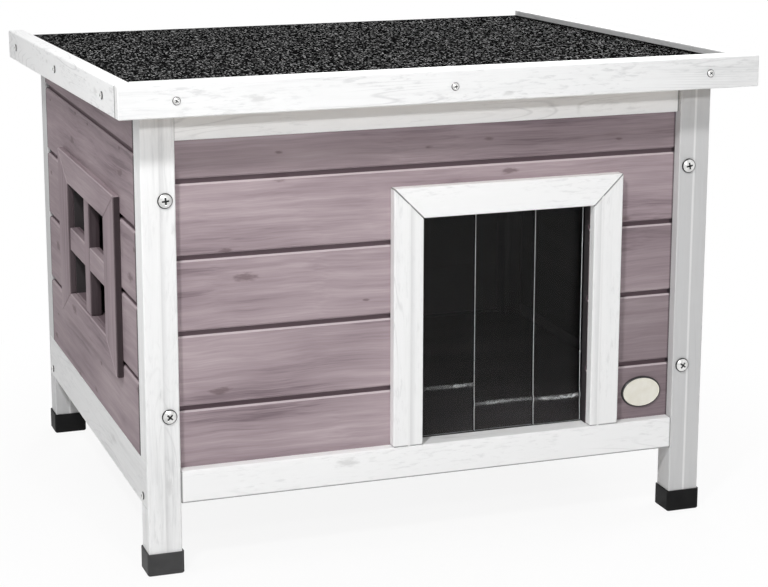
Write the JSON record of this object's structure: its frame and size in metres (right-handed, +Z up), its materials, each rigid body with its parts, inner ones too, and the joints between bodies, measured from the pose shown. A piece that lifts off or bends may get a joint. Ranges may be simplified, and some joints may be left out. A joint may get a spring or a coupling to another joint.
{
  "type": "outdoor cat house",
  "caption": "Raised outdoor cat house with grooved board walls, a clear strip door flap, a barred side window and a felted, gently sloping roof that lifts on rear hinges.",
  "frame": {"origin": "on the ground under the middle of the roof", "axes": "+X to the right seen from the front, -Y towards the front with the doorway, +Z up"},
  "size_m": [0.57, 0.5105, 0.427],
  "materials": {
    "white_paint": "white paint with the grain faintly showing",
    "mauve_paint": "thin mauve-grey paint with the grain showing",
    "bare_wood": "planed, unpainted",
    "dark_stain": "near-black stain, matt",
    "clear_sheet": "clear flexible sheet",
    "steel": "zinc plated",
    "roof_felt": "mineral-surfaced roofing felt",
    "foot_rubber": "matte moulded"
  },
  "bodies": {
    "house": {"front_left_post": "white_paint", "front_right_post": "white_paint", "rear_left_post": "white_paint", "rear_right_post": "white_paint", "front_bottom_rail": "white_paint", "rear_bottom_rail": "white_paint", "front_top_rail": "white_paint", "rear_top_rail": "white_paint", "left_bottom_rail": "white_paint", "right_bottom_rail": "white_paint", "door_left_stile": "white_paint", "door_right_stile": "white_paint", "door_header": "white_paint", "front_board_1": "mauve_paint", "front_board_2": "mauve_paint", "front_left_board_3": "mauve_paint", "front_left_board_4": "mauve_paint", "front_left_board_5": "mauve_paint", "front_right_board_3": "mauve_paint", "front_right_board_4": "mauve_paint", "front_right_board_5": "mauve_paint", "left_board_1": "mauve_paint", "left_board_2": "mauve_paint", "left_board_3": "mauve_paint", "left_board_4": "mauve_paint", "left_board_5": "mauve_paint", "right_boards": "mauve_paint", "rear_boards": "mauve_paint", "window_front_stile": "mauve_paint", "window_rear_stile": "mauve_paint", "window_bottom_rail": "mauve_paint", "window_top_rail": "mauve_paint", "window_mullion": "mauve_paint", "window_transom": "mauve_paint", "floor_bearers": "bare_wood", "corner_battens": "dark_stain", "floor_panel": "dark_stain", "flap_batten": "dark_stain", "flap_top_band": "clear_sheet", "hinge_body_leaves": "steel", "hinge_pins": "steel", "foot_caps": "foot_rubber"},
    "roof": {"roof_panel": "bare_wood", "roof_front_trim": "white_paint", "roof_left_trim": "white_paint", "roof_right_trim": "white_paint", "roof_front_strip": "white_paint", "roof_felt": "roof_felt", "roof_rear_batten": "bare_wood", "hinge_roof_leaves": "steel"},
    "flap_left": {"flap_left_strip": "clear_sheet"},
    "flap_middle": {"flap_middle_strip": "clear_sheet"},
    "flap_right": {"flap_right_strip": "clear_sheet"}
  },
  "joints": [
    {"name": "roof_lift", "type": "hinge", "parent": "house", "child": "roof", "pos_m": [0, 0.2273, 0.3722], "axis": [-1, 0, 0], "range_deg": [0, 115]},
    {"name": "flap_left_swing", "type": "hinge", "parent": "house", "child": "flap_left", "pos_m": [0.0162, -0.1954, 0.2914], "axis": [1, 0, 0], "range_deg": [-80, 80]},
    {"name": "flap_middle_swing", "type": "hinge", "parent": "house", "child": "flap_middle", "pos_m": [0.0717, -0.1954, 0.2914], "axis": [1, 0, 0], "range_deg": [-80, 80]},
    {"name": "flap_right_swing", "type": "hinge", "parent": "house", "child": "flap_right", "pos_m": [0.12375, -0.1954, 0.2914], "axis": [1, 0, 0], "range_deg": [-80, 80]}
  ]
}
